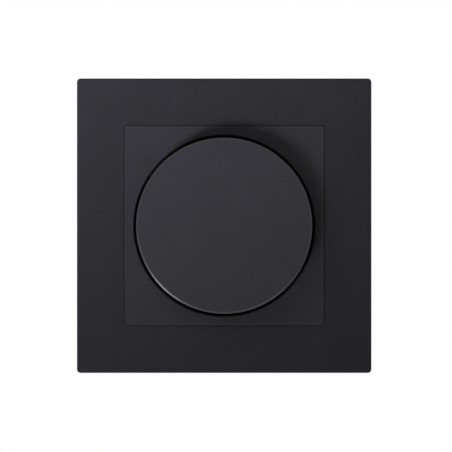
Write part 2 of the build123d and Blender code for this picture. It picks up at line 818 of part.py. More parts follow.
# Spring plate behind the rotor, with two fingers that run on the wafer
finger_inner = rotor_hub_radius + shaft_clear
finger_outer = rotor_radius - shaft_clear
with BuildPart() as wiper_contact:
    with BuildSketch(facing(disc_back - finger_plate)):
        Circle(finger_outer)
        Circle(finger_inner, mode=Mode.SUBTRACT)
    extrude(amount=finger_plate)
    for side in (1, -1):
        with BuildSketch(across(0)):
            with BuildLine() as finger:
                Line(
                    (side * finger_inner, disc_back - finger_plate / 2),
                    (side * finger_outer, wafer_front + finger_plate),
                )
            trace(finger.edges(), finger_plate)
        extrude(amount=finger_width / 2, both=True)
wiper_contact.part.label = "wiper_contact"
export_step(wiper_contact.part, "parts/wiper_contact.step")

# Shaft with a flat in the knob and a flat in the rotor, round where the bush guides it
rear_flat_front = rotor_front + press_travel + shaft_clear
with BuildPart() as control_shaft:
    with BuildSketch(facing(shaft_back)):
        Circle(shaft_radius)
    extrude(amount=shaft_front - shaft_back)
    chamfer(control_shaft.faces().sort_by(Axis.Y)[0].edges(), shaft_chamfer)
    with BuildSketch(facing(hub_back)):
        with Locations((0, shaft_flat_at)):
            Rectangle(shaft_diameter, shaft_radius, align=(Align.CENTER, Align.MIN))
    extrude(amount=shaft_front - hub_back, mode=Mode.SUBTRACT)
    with BuildSketch(facing(shaft_back)):
        with Locations((0, shaft_flat_at)):
            Rectangle(shaft_diameter, shaft_radius, align=(Align.CENTER, Align.MIN))
    extrude(amount=rear_flat_front - shaft_back, mode=Mode.SUBTRACT)
    with BuildSketch(facing(circlip_back - screw_fit)):
        Circle(shaft_diameter)
        Circle(shaft_radius - circlip_groove, mode=Mode.SUBTRACT)
    extrude(amount=circlip_thickness + 2 * screw_fit, mode=Mode.SUBTRACT)
control_shaft.part.label = "control_shaft"
export_step(control_shaft.part, "parts/control_shaft.step")

# Retaining ring on the shaft, open below
with BuildPart() as shaft_circlip:
    with BuildSketch(facing(circlip_back)):
        Circle(shaft_radius + circlip_reach)
        Circle(shaft_radius - circlip_groove + screw_fit, mode=Mode.SUBTRACT)
        Rectangle(circlip_mouth, shaft_diameter, align=(Align.CENTER, Align.MAX), mode=Mode.SUBTRACT)
    extrude(amount=circlip_thickness)
shaft_circlip.part.label = "shaft_circlip"
export_step(shaft_circlip.part, "parts/shaft_circlip.step")

# Push switch: square cup on the circuit board
contact_at = switch_size / 2 - switch_wall - contact_inset
with BuildPart() as switch_case:
    with BuildSketch(facing(board_front)):
        Rectangle(switch_size, switch_size)
    extrude(amount=lid_back - board_front)
    with BuildSketch(facing(switch_floor)):
        Rectangle(switch_size - 2 * switch_wall, switch_size - 2 * switch_wall)
    extrude(amount=lid_back - switch_floor, mode=Mode.SUBTRACT)
    with BuildSketch(facing(board_front)):
        with GridLocations(2 * contact_at, 1, 2, 1):
            Rectangle(contact_thickness + 2 * screw_fit, contact_width + 2 * screw_fit)
    extrude(amount=switch_wall, mode=Mode.SUBTRACT)
switch_case.part.label = "switch_case"
export_step(switch_case.part, "parts/switch_case.step")

# Lid that guides the plunger
with BuildPart() as switch_lid:
    with BuildSketch(facing(lid_back)):
        Rectangle(switch_size, switch_size)
        Circle(plunger_diameter / 2 + shaft_fit, mode=Mode.SUBTRACT)
    extrude(amount=lid_thickness)
switch_lid.part.label = "switch_lid"
export_step(switch_lid.part, "parts/switch_lid.step")

# Plunger that the shaft presses
with BuildPart() as switch_plunger:
    with BuildSketch(facing(plunger_stop)):
        Circle(plunger_diameter / 2)
    extrude(amount=plunger_front - plunger_stop)
    with BuildSketch(facing(bridge_front)):
        Circle(plunger_diameter / 2 + plunger_rim)
    extrude(amount=plunger_flange)
    with BuildSketch(facing(bridge_back - spigot_length)):
        Circle(plunger_spigot / 2)
    extrude(amount=spigot_length + bridge_thickness)
switch_plunger.part.label = "switch_plunger"
export_step(switch_plunger.part, "parts/switch_plunger.step")

# Moving contact across the plunger
with BuildPart() as contact_bridge:
    with BuildSketch(facing(bridge_back)):
        Rectangle(switch_size - 2 * (switch_wall + bridge_side_gap), bridge_width)
        Circle(plunger_spigot / 2 + screw_fit, mode=Mode.SUBTRACT)
    extrude(amount=bridge_thickness)
contact_bridge.part.label = "contact_bridge"
export_step(contact_bridge.part, "parts/contact_bridge.step")

# Fixed contact blades, through the floor of the switch and the circuit board
with BuildPart() as switch_contacts:
    with BuildSketch(facing(pin_back)):
        with GridLocations(2 * contact_at, 1, 2, 1):
            Rectangle(contact_thickness, contact_width)
    extrude(amount=contact_front - pin_back)
switch_contacts.part.label = "switch_contacts"
export_step(switch_contacts.part, "parts/switch_contacts.step")

# Coil spring that brings the knob back, wound in short straight runs
with BuildPart() as return_spring:
    spring_steps = round(spring_turns * spring_runs)
    spring_rise = (spring_length - spring_wire) / spring_steps
    spring_angle = 2 * pi / spring_runs
    with BuildLine() as coil:
        Polyline(
            [
                (
                    spring_diameter / 2 * cos(step * spring_angle),
                    -switch_floor - spring_wire / 2 - step * spring_rise,
                    spring_diameter / 2 * sin(step * spring_angle),
                )
                for step in range(spring_steps + 1)
            ]
        )
    with BuildSketch(Plane(origin=coil.line @ 0, z_dir=coil.line % 0)):
        RegularPolygon(spring_wire / 2, spring_sides)
    sweep(path=coil.line, transition=Transition.RIGHT)
return_spring.part.label = "return_spring"
export_step(return_spring.part, "parts/return_spring.step")

# Interference choke: ferrite ring, and its winding as one coil with a ridge for each turn
choke_grip = choke_layer + choke_wire
choke_level = body_diameter / 2 - body_wall - choke_clear - choke_outer / 2 - choke_grip
with BuildPart() as choke_core:
    with BuildSketch(facing(board_front + choke_grip)):
        with Locations((0, choke_level)):
            Circle(choke_outer / 2)
            Circle(choke_inner / 2, mode=Mode.SUBTRACT)
    extrude(amount=choke_height)
choke_core.part.label = "choke_core"
export_step(choke_core.part, "parts/choke_core.step")

with BuildPart() as choke_winding:
    with BuildSketch(facing(board_front + choke_wire)):
        with Locations((0, choke_level)):
            Circle(choke_outer / 2 + choke_layer)
            Circle(choke_inner / 2 - choke_layer, mode=Mode.SUBTRACT)
    extrude(amount=choke_height + 2 * choke_layer)
    with BuildSketch(facing(board_front)):
        with Locations((0, choke_level)):
            with PolarLocations((choke_outer + choke_inner) / 4, choke_turns):
                Rectangle((choke_outer - choke_inner) / 2 + 2 * choke_grip, choke_wire)
    extrude(amount=choke_height + 2 * choke_grip)
    with BuildSketch(facing(board_front + choke_grip - screw_fit)):
        with Locations((0, choke_level)):
            Circle(choke_outer / 2 + screw_fit)
            Circle(choke_inner / 2 - screw_fit, mode=Mode.SUBTRACT)
    extrude(amount=choke_height + 2 * screw_fit, mode=Mode.SUBTRACT)
choke_winding.part.label = "choke_winding"
export_step(choke_winding.part, "parts/choke_winding.step")

# Plate on the right flat side that cools the two switching devices
sink_outer = body_width / 2 - body_wall - sink_gap
sink_inner = sink_outer - sink_thickness
with BuildPart() as heat_sink:
    with BuildSketch(facing(board_front)):
        with Locations((sink_outer, 0)):
            Rectangle(sink_thickness, 2 * device_width + device_gap, align=(Align.MAX, Align.CENTER))
    extrude(amount=sink_height)
heat_sink.part.label = "heat_sink"
export_step(heat_sink.part, "parts/heat_sink.step")

# Switching devices: moulded body, metal tab with a hole, and three leads through the board
device_spacing = device_width + device_gap
device_back = board_front + device_lift
device_front = device_back + device_height
lead_at = sink_inner - device_thickness / 2
with BuildPart() as power_transistors:
    with BuildSketch(facing(device_back)):
        with Locations((sink_inner, 0)):
            with GridLocations(1, device_spacing, 1, 2):
                Rectangle(device_thickness, device_width, align=(Align.MAX, Align.CENTER))
    extrude(amount=device_height)
    with BuildSketch(facing(device_front)):
        with Locations((sink_inner, 0)):
            with GridLocations(1, device_spacing, 1, 2):
                Rectangle(device_tab, device_width, align=(Align.MAX, Align.CENTER))
    extrude(amount=device_tab_height)
    with BuildSketch(Plane.YZ.offset(sink_inner - device_tab)):
        with Locations((-device_front - device_tab_height / 2, 0)):
            with GridLocations(1, device_spacing, 1, 2):
                Circle(device_hole / 2)
    extrude(amount=device_tab, mode=Mode.SUBTRACT)
    with BuildSketch(facing(pin_back)):
        with Locations((lead_at, 0)):
            with GridLocations(1, device_spacing, 1, 2):
                with GridLocations(1, lead_pitch, 1, lead_count):
                    Rectangle(lead_width, lead_width)
    extrude(amount=device_back - pin_back)
power_transistors.part.label = "power_transistors"
export_step(power_transistors.part, "parts/power_transistors.step")

# Circuit board on the shoulders of the pillars
with BuildPart() as circuit_board:
    with BuildSketch(facing(board_back)):
        add(insert_outline(body_wall + board_gap))
        with GridLocations(cap_screw_run, cap_screw_rise, 2, 2):
            Circle(neck_radius + board_hole_gap, mode=Mode.SUBTRACT)
        with Locations((0, pin_level)):
            with GridLocations(pin_pitch, 1, pin_count, 1):
                Rectangle(pin_width + 2 * pin_clear, pin_thickness + 2 * pin_clear, mode=Mode.SUBTRACT)
        with GridLocations(2 * contact_at, 1, 2, 1):
            Rectangle(
                contact_thickness + 2 * pin_clear, contact_width + 2 * pin_clear, mode=Mode.SUBTRACT
            )
        with Locations((lead_at, 0)):
            with GridLocations(1, device_spacing, 1, 2):
                with GridLocations(1, lead_pitch, 1, lead_count):
                    Rectangle(lead_width + 2 * pin_clear, lead_width + 2 * pin_clear, mode=Mode.SUBTRACT)
    extrude(amount=board_thickness)
circuit_board.part.label = "circuit_board"
export_step(circuit_board.part, "parts/circuit_board.step")

# Film capacitor beside the terminals
film_level = body_wall + part_gap + film_depth / 2 - body_bottom
with BuildPart() as film_capacitor:
    with BuildSketch(facing(board_front)):
        with Locations((0, film_level)):
            Rectangle(film_width, film_depth)
    extrude(amount=film_height)
    chamfer(film_capacitor.faces().sort_by(Axis.Y)[0].edges(), film_edge)
film_capacitor.part.label = "film_capacitor"
export_step(film_capacitor.part, "parts/film_capacitor.step")

# Storage capacitor: a can with a rolled groove near its foot
storage_radius = storage_diameter / 2
storage_at = -film_width / 2 - part_gap - storage_radius
with BuildPart() as storage_capacitor:
    with BuildSketch(facing(board_front)):
        with Locations((storage_at, film_level)):
            Circle(storage_radius)
    extrude(amount=storage_height)
    chamfer(storage_capacitor.faces().sort_by(Axis.Y)[0].edges(), storage_groove)
    with BuildSketch(facing(board_front + part_gap)):
        with Locations((storage_at, film_level)):
            Circle(storage_radius)
            Circle(storage_radius - storage_groove, mode=Mode.SUBTRACT)
    extrude(amount=storage_groove, mode=Mode.SUBTRACT)
storage_capacitor.part.label = "storage_capacitor"
export_step(storage_capacitor.part, "parts/storage_capacitor.step")

# Control chip with two rows of legs, between the push switch and the switching devices
chip_at = switch_size / 2 + part_gap + chip_span / 2
with BuildPart() as control_chip:
    with BuildSketch(facing(board_front + chip_leg / 2)):
        with Locations((chip_at, 0)):
            Rectangle(chip_width, chip_length)
    extrude(amount=chip_height)
    with BuildSketch(facing(board_front)):
        with Locations((chip_at, 0)):
            with GridLocations(1, chip_leg_pitch, 1, chip_leg_count):
                Rectangle(chip_span, chip_leg)
    extrude(amount=chip_leg)
control_chip.part.label = "control_chip"
export_step(control_chip.part, "parts/control_chip.step")

# Fuse: glass tube with metal caps, in two sprung clips on the left
fuse_at = body_wall + fuse_from_wall + fuse_diameter / 2 - body_width / 2
fuse_height = board_front + fuse_lift + fuse_diameter / 2
fuse_cap_radius = fuse_diameter / 2 + fuse_cap_wall
with BuildPart() as fuse_link:
    with BuildSketch(upward(fuse_at, fuse_height, -fuse_length / 2)):
        Circle(fuse_diameter / 2)
    extrude(amount=fuse_length)
    for end in (-fuse_length / 2, fuse_length / 2 - fuse_cap_length):
        with BuildSketch(upward(fuse_at, fuse_height, end)):
            Circle(fuse_cap_radius)
        extrude(amount=fuse_cap_length)
fuse_link.part.label = "fuse_link"
export_step(fuse_link.part, "parts/fuse_link.step")

fuse_clip_reach = fuse_cap_radius + screw_fit + fuse_clip_sheet / 2
fuse_clip_level = (fuse_length - fuse_cap_length) / 2
with BuildPart() as fuse_clips:
    for end in (1, -1):
        with BuildSketch(across(end * fuse_clip_level)):
            with BuildLine() as spring_clip:
                FilletPolyline(
                    (fuse_at - fuse_clip_reach, fuse_height + fuse_diameter / 4),
                    (fuse_at - fuse_clip_reach, board_front + fuse_clip_sheet / 2),
                    (fuse_at + fuse_clip_reach, board_front + fuse_clip_sheet / 2),
                    (fuse_at + fuse_clip_reach, fuse_height + fuse_diameter / 4),
                    radius=fuse_clip_sheet,
                )
            trace(spring_clip.edges(), fuse_clip_sheet)
        extrude(amount=fuse_clip_width / 2, both=True)
fuse_clips.part.label = "fuse_clips"
export_step(fuse_clips.part, "parts/fuse_clips.step")

# Terminal cages behind the board, open to the wires at the back
with BuildPart() as terminal_cages:
    with BuildSketch(facing(cage_back)):
        with Locations((0, cage_top)):
            with GridLocations(terminal_pitch, 1, terminal_count, 1):
                Rectangle(cage_width, cage_height, align=(Align.CENTER, Align.MAX))
        with Locations((0, wire_level)):
            with GridLocations(terminal_pitch, 1, terminal_count, 1):
                Rectangle(cage_width - 2 * cage_wall, wire_entry, mode=Mode.SUBTRACT)
    extrude(amount=cage_depth)
    with BuildSketch(upward(0, cage_middle, cage_bottom)):
        with GridLocations(terminal_pitch, 1, terminal_count, 1):
            Circle(terminal_screw_diameter / 2 + screw_fit)
    extrude(amount=wire_level - wire_entry / 2 - cage_bottom, mode=Mode.SUBTRACT)
terminal_cages.part.label = "terminal_cages"
export_step(terminal_cages.part, "parts/terminal_cages.step")

# Terminal screws, driven from below
terminal_head_top = cage_bottom - screw_fit
terminal_head_bottom = terminal_head_top - terminal_head_height
with BuildPart() as terminal_screws:
    with BuildSketch(upward(0, cage_middle, terminal_head_bottom)):
        with GridLocations(terminal_pitch, 1, terminal_count, 1):
            Circle(terminal_head_diameter / 2)
    extrude(amount=terminal_head_height)
    with BuildSketch(upward(0, cage_middle, terminal_head_bottom)):
        with GridLocations(terminal_pitch, 1, terminal_count, 1):
            Rectangle(terminal_head_diameter, driver_slot_width)
    extrude(amount=driver_slot_depth, mode=Mode.SUBTRACT)
    with BuildSketch(upward(0, cage_middle, terminal_head_top)):
        with GridLocations(terminal_pitch, 1, terminal_count, 1):
            Circle(terminal_screw_diameter / 2)
    extrude(amount=wire_level - wire_entry / 2 - terminal_head_top)
terminal_screws.part.label = "terminal_screws"
export_step(terminal_screws.part, "parts/terminal_screws.step")
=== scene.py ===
import bpy
import bmesh
import json
import math
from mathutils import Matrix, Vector

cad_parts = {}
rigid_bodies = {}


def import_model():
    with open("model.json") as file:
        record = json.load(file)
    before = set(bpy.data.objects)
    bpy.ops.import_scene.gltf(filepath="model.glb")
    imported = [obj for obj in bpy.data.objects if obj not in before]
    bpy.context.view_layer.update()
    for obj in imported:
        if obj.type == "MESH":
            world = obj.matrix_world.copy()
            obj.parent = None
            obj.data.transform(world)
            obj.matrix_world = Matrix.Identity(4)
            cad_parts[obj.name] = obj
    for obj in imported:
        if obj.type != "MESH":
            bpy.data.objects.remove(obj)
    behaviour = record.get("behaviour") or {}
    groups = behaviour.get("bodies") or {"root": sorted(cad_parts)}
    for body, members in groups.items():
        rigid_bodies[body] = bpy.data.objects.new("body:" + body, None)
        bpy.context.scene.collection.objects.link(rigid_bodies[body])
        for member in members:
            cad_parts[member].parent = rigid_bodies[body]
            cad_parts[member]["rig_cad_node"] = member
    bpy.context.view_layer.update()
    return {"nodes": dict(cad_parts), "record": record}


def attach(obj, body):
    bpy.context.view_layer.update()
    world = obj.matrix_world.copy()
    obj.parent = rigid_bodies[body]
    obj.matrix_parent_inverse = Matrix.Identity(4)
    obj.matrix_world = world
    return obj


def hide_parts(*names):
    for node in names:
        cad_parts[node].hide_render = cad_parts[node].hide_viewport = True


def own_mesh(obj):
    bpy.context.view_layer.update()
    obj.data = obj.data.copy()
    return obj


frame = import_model()
nodes = frame["nodes"]
scene = bpy.context.scene
scene.view_settings.view_transform = "Standard"
mm = 0.001
print("loaded", len(nodes), "CAD nodes")


# Shader sockets: sums add Math nodes, node() adds any other kind
class Sig:
    def __init__(self, tree, socket=None):
        self.tree = tree
        self.socket = socket

    def node(self, kind, settings={}, links={}, out=0):
        made = self.tree.nodes.new("ShaderNode" + kind)
        for name, value in settings.items():
            if name == "stops":  # colour ramp, as place and colour
                ramp = made.color_ramp.elements
                while len(ramp) < len(value):
                    ramp.new(0.5)
                for stop, (place, colour) in zip(ramp, value):
                    stop.position = place
                    stop.color = (*colour, 1)
            else:
                setattr(made, name, value)
        for name, value in links.items():
            self.join(made.inputs[name], value)
        return Sig(self.tree, made.outputs[out])

    def join(self, socket, value):
        if isinstance(value, Sig):
            self.tree.links.new(value.socket, socket)
        elif isinstance(value, tuple) and len(value) == 3 and socket.type == "RGBA":
            socket.default_value = (*value, 1)
        else:
            socket.default_value = value

    def maths(self, operation, a, b):
        return self.node("Math", {"operation": operation}, {0: a, 1: b})

    def __add__(self, other):
        return self.maths("ADD", self, other)

    def __sub__(self, other):
        return self.maths("SUBTRACT", self, other)

    def __rsub__(self, other):
        return self.maths("SUBTRACT", other, self)

    def __mul__(self, other):
        return self.maths("MULTIPLY", self, other)

    def __gt__(self, other):
        return self.maths("GREATER_THAN", self, other)

    def __or__(self, other):
        return self.maths("MAXIMUM", self, other)

    __radd__ = __add__
    __rmul__ = __mul__

    def blend(self, low, high):  # colour from low to high as this goes from 0 to 1
        return self.node("Mix", {"data_type": "RGBA"}, {0: self, 6: low, 7: high}, out=2)

    def bump(self, depth, strength):
        return self.node("Bump", {}, {"Height": self, "Distance": depth, "Strength": strength})


def shade(colour, share):
    return tuple(channel * share for channel in colour)


def newFinish(name, sockets):  # a material whose shader takes the values that sockets() gives
    finish = bpy.data.materials.new(name)
    finish.use_nodes = True
    sig = Sig(finish.node_tree)
    place = sig.node("TexCoord", out="Object")
    links = sockets(sig, place)
    shader = finish.node_tree.nodes["Principled BSDF"]
    for socket, value in links.items():
        sig.join(shader.inputs[socket], value)
    return finish


def grain(sig, place, size, detail=2.0, stretch=(1, 1, 1)):  # noise with blobs of this size in millimetres
    stretched = sig.node("Mapping", {"vector_type": "POINT"}, {"Vector": place, "Scale": stretch})
    return sig.node("TexNoise", {}, {
        "Vector": stretched, "Scale": 1 / (size * mm), "Detail": detail, "Roughness": 0.5,
    })


# Worn edges, lightened as wear and as a painted highlight: high where a softened normal leaves the face's own,
# and patchy
edges = dict(samples=4, gain=4.0, least=0.2, patchy=1.2, patch=1.5, patchDetail=3.0)


def edgeWearAndHighlight(sig, place, width, d=edges):
    softened = sig.node("Bevel", {"samples": d["samples"]}, {"Radius": width * mm})
    facing = sig.node("NewGeometry", out="Normal")
    meeting = sig.node("VectorMath", {"operation": "DOT_PRODUCT"}, {0: softened, 1: facing}, out="Value")
    patches = grain(sig, place, d["patch"], d["patchDetail"])
    return (1 - meeting) * d["gain"] * (d["least"] + d["patchy"] * patches)


# Moulded plastics: spark-eroded grain and a faint cloudiness from the pigment
moulding = dict(
    pitDetail=3.0, broad=9.0, broadShare=0.3, fine=0.8, fineShare=0.7, roughRange=0.1, bump=0.6,
    polish=0.35, polishRough=0.25, rubbedHighlightShade=1.7, rubbedRough=0.12,
)


def mouldedPlastic(
    name, colour, rough, specular, pit=0.4, depth=0.02, cloud=0.42, rim=None, wearAndHighlightWidth=None, d=moulding,
):
    def sockets(sig, place):
        pits = grain(sig, place, pit, d["pitDetail"])
        clouds = d["broadShare"] * grain(sig, place, d["broad"]) + d["fineShare"] * grain(sig, place, d["fine"])
        links = {
            "Base Color": clouds.blend(shade(colour, 1 - cloud), shade(colour, 1 + cloud)),
            "Roughness": rough - d["roughRange"] / 2 + d["roughRange"] * pits,
            "Specular IOR Level": specular,
            "Normal": pits.bump(depth * mm, d["bump"]),
        }
        if rim:  # polished by fingers from this radius on
            flat = sig.node("VectorMath", {"operation": "MULTIPLY"}, {0: place, 1: (1, 0, 1)})
            polished = sig.node("VectorMath", {"operation": "LENGTH"}, {0: flat}, out="Value") > rim * mm
            links["Coat Weight"] = d["polish"] * polished
            links["Coat Roughness"] = d["polishRough"]
        if wearAndHighlightWidth:  # edges that handling has rubbed lighter, the lightening also a painted highlight along them
            rubbedAndHighlit = edgeWearAndHighlight(sig, place, wearAndHighlightWidth)
            links["Base Color"] = rubbedAndHighlit.blend(links["Base Color"], shade(colour, d["rubbedHighlightShade"]))
            links["Roughness"] = links["Roughness"] - d["rubbedRough"] * rubbedAndHighlit
        return links
    return newFinish(name, sockets)


# Metals: rolling or drawing lines along one direction, a cloudy plating, and edges burnished by the tool, whose
# lightening also paints a highlight along them
drawing = dict(
    lineDetail=4.0, cloud=4.0, cloudDetail=3.0, cloudShare=0.6, lineShare=0.4, darkAt=0.35, lightAt=0.65,
    roughDrop=0.12, lineRough=0.18, cloudRough=0.08, bump=0.4, burnishedHighlightShade=1.15, burnishedRough=0.1,
)


def drawnMetal(name, dark, light, rough, stretch=(1, 1, 1), line=0.25, depth=0.01, wearAndHighlightWidth=None, d=drawing):
    def sockets(sig, place):
        lines = grain(sig, place, line, d["lineDetail"], stretch)
        clouds = d["cloudShare"] * grain(sig, place, d["cloud"], d["cloudDetail"]) + d["lineShare"] * lines
        stops = [(d["darkAt"], dark), (d["lightAt"], light)]
        links = {
            "Base Color": sig.node("ValToRGB", {"stops": stops}, {0: clouds}),
            "Metallic": 1.0,
            "Roughness": rough - d["roughDrop"] + d["lineRough"] * lines + d["cloudRough"] * clouds,
            "Normal": lines.bump(depth * mm, d["bump"]),
        }
        if wearAndHighlightWidth:
            # edges burnished lighter by the tool, the lightening also a painted highlight along them
            burnishedAndHighlit = edgeWearAndHighlight(sig, place, wearAndHighlightWidth)
            links["Base Color"] = burnishedAndHighlit.blend(links["Base Color"], shade(light, d["burnishedHighlightShade"]))
            links["Roughness"] = links["Roughness"] - d["burnishedRough"] * burnishedAndHighlit
        return links
    return newFinish(name, sockets)


# Circuit board: lacquer over tracks that show as a slightly lighter pattern
lacquer = dict(
    trackScale=260.0, trackWidth=0.012, plain=0.0, covered=0.25, track=1.0, trackShade=1.7,
    rough=0.3, roughRange=0.1, ripple=1.2, coat=0.3,
)


def boardLacquer(name, colour, d=lacquer):
    def sockets(sig, place):
        tracks = sig.node("TexBrick", {}, {
            "Vector": sig.node("Mapping", {}, {"Vector": place, "Rotation": (math.pi / 2, 0, 0)}),
            "Scale": d["trackScale"], "Mortar Size": d["trackWidth"], "Mortar": (d["track"],) * 3,
            "Color1": (d["plain"],) * 3, "Color2": (d["covered"],) * 3,
        })
        return {
            "Base Color": tracks.blend(colour, shade(colour, d["trackShade"])),
            "Roughness": d["rough"] + d["roughRange"] * grain(sig, place, d["ripple"]),
            "Coat Weight": d["coat"],
        }
    return newFinish(name, sockets)


# Glass tube with pressed metal caps at its two ends
tube = dict(
    capFrom=3.5, glass=(0.80, 0.84, 0.83), metal=(0.62, 0.61, 0.58), rough=0.06, capRough=0.2,
    smear=0.8, smearRough=0.05,
)


def fuseTube(name, d=tube):
    def sockets(sig, place):
        along = sig.node("SeparateXYZ", {}, {0: place}, out="Z")
        cap = sig.maths("ABSOLUTE", along, 0.0) > d["capFrom"] * mm
        smears = grain(sig, place, d["smear"])
        return {
            "Base Color": cap.blend(d["glass"], d["metal"]),
            "Metallic": cap,
            "Roughness": d["rough"] + d["capRough"] * cap + d["smearRough"] * smears,
        }
    return newFinish(name, sockets)


finishes = {
    "frame_plastic": mouldedPlastic("frameAnthracite", (0.0226, 0.0217, 0.0266), 0.56, 0.08),
    "plate_plastic": mouldedPlastic("plateAnthracite", (0.0315, 0.0303, 0.0368), 0.56, 0.08),
    "knob_plastic": mouldedPlastic("knobAnthracite", (0.0246, 0.0246, 0.0312), 0.40, 0.16, rim=23.5),
    "zinc_steel": drawnMetal(
        "zincPlate", (0.50, 0.52, 0.54), (0.66, 0.645, 0.59), 0.36, (0.05, 1, 1), wearAndHighlightWidth=0.15,
    ),
    "spring_steel": drawnMetal("springSteel", (0.34, 0.35, 0.37), (0.46, 0.47, 0.49), 0.28),
    "housing_plastic": mouldedPlastic(
        "housingGrey", (0.085, 0.088, 0.093), 0.5, 0.4, 0.6, 0.03, 0.15, wearAndHighlightWidth=0.3,
    ),
    "cap_plastic": mouldedPlastic("capGrey", (0.10, 0.104, 0.11), 0.5, 0.4, 0.6, 0.03, 0.15, wearAndHighlightWidth=0.3),
    "brass": drawnMetal("bareBrass", (0.62, 0.42, 0.17), (0.76, 0.56, 0.27), 0.3),
    "bare_aluminium": drawnMetal(
        "drawnAluminium", (0.60, 0.61, 0.63), (0.72, 0.73, 0.74), 0.34, (1, 0.05, 1),
    ),
    "board_laminate": boardLacquer("boardLacquer", (0.012, 0.10, 0.045)),
    "wafer_laminate": mouldedPlastic("waferLaminate", (0.18, 0.09, 0.04), 0.45, 0.4, 0.25, 0.01, 0.2),
    "switch_plastic": mouldedPlastic("switchIvory", (0.55, 0.54, 0.50), 0.4, 0.5, 0.5, 0.01, 0.04),
    "ferrite": mouldedPlastic("ferriteGrey", (0.045, 0.045, 0.05), 0.7, 0.3, 0.2, 0.03, 0.15),
    "copper_wire": drawnMetal("enamelledCopper", (0.42, 0.14, 0.05), (0.60, 0.25, 0.10), 0.25),
    "device_plastic": mouldedPlastic("deviceBlack", (0.018, 0.018, 0.02), 0.6, 0.4, 0.2, 0.01, 0.1),
    "film_box": mouldedPlastic("filmBoxAmber", (0.45, 0.29, 0.05), 0.3, 0.5, 0.7, 0.006, 0.06),
    "fuse_glass": fuseTube("fuseTube"),
    # soft rubber part in the knob's well: its near-black colour is painted shade, so the gap round the knob reads
    # dark
    "soft_rubber": mouldedPlastic("wellGapShadeFoam", (0.006, 0.006, 0.0065), 0.85, 0.05, 0.3, 0.05, 0.2),
}
for part in frame["record"]["subparts"]:
    for holder in nodes[part["node"]].material_slots:
        holder.material = finishes[part["material_slot"]]
print("dressed", len(nodes), "nodes in", len(finishes), "finishes")

# Modelling by hand: heights are in millimetres from the wall towards the room, so y is minus the height
sunk = 0.5  # joined pieces reach this far into each other
past = 1.0  # cutting pieces reach this far beyond the surface
near = 0.1  # corners this close belong to an edge
same = 0.001  # corners this close are at one height or in one line


def select(piece):
    bpy.ops.object.select_all(action="DESELECT")
    bpy.context.view_layer.objects.active = piece
    piece.select_set(True)


def settle(name):  # the primitive just added takes its name and keeps its place in its mesh
    piece = bpy.context.object
    bpy.ops.object.transform_apply(location=True, rotation=True, scale=True)
    piece.name = piece.data.name = name
    return piece


def block(name, width, back, front, rise=None, at=(0, 0), turn=0.0):
    bpy.ops.object.select_all(action="DESELECT")
    bpy.ops.mesh.primitive_cube_add(size=1, location=(at[0] * mm, -(front + back) / 2 * mm, at[1] * mm))
    bpy.context.object.scale = (width * mm, (front - back) * mm, (rise or width) * mm)
    bpy.context.object.rotation_euler = (0, math.radians(turn), 0)
    return settle(name)


def disc(name, radius, back, front, sides=160, at=(0, 0)):
    bpy.ops.object.select_all(action="DESELECT")
    bpy.ops.mesh.primitive_cylinder_add(
        vertices=sides, radius=radius * mm, depth=(front - back) * mm,
        location=(at[0] * mm, -(front + back) / 2 * mm, at[1] * mm), rotation=(math.pi / 2, 0, 0),
    )
    return settle(name)


def pick(piece, kind, test):  # in edit mode, select the verts, edges or faces whose corners pass the test
    bpy.ops.object.mode_set(mode="EDIT")
    bpy.ops.mesh.select_mode(type={"verts": "VERT", "edges": "EDGE", "faces": "FACE"}[kind])
    bpy.ops.mesh.select_all(action="DESELECT")
    mesh = bmesh.from_edit_mesh(piece.data)
    for item in getattr(mesh, kind):
        corners = [item] if kind == "verts" else item.verts
        if test([(v.co.x / mm, -v.co.y / mm, v.co.z / mm) for v in corners]):
            item.select_set(True)
    bmesh.update_edit_mesh(piece.data)


def rounded(piece, test, radius, steps):
    select(piece)
    pick(piece, "edges", test)
    bpy.ops.mesh.bevel(offset=radius * mm, segments=steps, affect="EDGES", clamp_overlap=False)
    bpy.ops.object.mode_set(mode="OBJECT")


def standing(corners):  # edges that run from the wall to the room
    (x, h, z), (u, k, w) = corners
    return abs(x - u) < same and abs(z - w) < same


def level(height, reach=1e3):  # edges at this height, within a reach of the axis
    return lambda corners: all(
        abs(h - height) < same and max(abs(x), abs(z)) < reach for x, h, z in corners
    )


def merge(piece, tool, operation):  # the tool is used up
    select(piece)
    step = piece.modifiers.new("merge", "BOOLEAN")
    step.operation = operation
    step.solver = "EXACT"
    step.object = tool
    bpy.ops.object.modifier_apply(modifier=step.name)
    bpy.data.meshes.remove(tool.data)


def copyOf(node, name, weld=0.002, flat=0.5):  # the solid as a piece of its own, with its triangles joined up
    piece = nodes[node].copy()
    piece.data = nodes[node].data.copy()
    piece.name = piece.data.name = name
    del piece["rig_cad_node"]
    scene.collection.objects.link(piece)
    select(piece)
    bpy.ops.mesh.customdata_custom_splitnormals_clear()
    bpy.ops.object.mode_set(mode="EDIT")
    bpy.ops.mesh.select_all(action="SELECT")
    bpy.ops.mesh.remove_doubles(threshold=weld * mm)
    bpy.ops.mesh.dissolve_limited(angle_limit=math.radians(flat))
    bpy.ops.object.mode_set(mode="OBJECT")
    return piece


def finishPiece(piece, slot, body, node, crease=35, weld=0.0005):  # smooth rounded edges, flat faces kept flat
    select(piece)
    bpy.ops.object.mode_set(mode="EDIT")
    bpy.ops.mesh.select_all(action="SELECT")
    bpy.ops.mesh.remove_doubles(threshold=weld * mm)
    bpy.ops.mesh.normals_make_consistent(inside=False)
    bpy.ops.object.mode_set(mode="OBJECT")
    bpy.ops.object.shade_smooth_by_angle(angle=math.radians(crease))
    even = piece.modifiers.new("even", "WEIGHTED_NORMAL")
    even.keep_sharp = True
    bpy.ops.object.modifier_apply(modifier=even.name)
    piece.data.materials.clear()
    piece.data.materials.append(finishes[slot])
    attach(piece, body)
    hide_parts(node)
    print("made", piece.name, "with", len(piece.data.polygons), "faces")


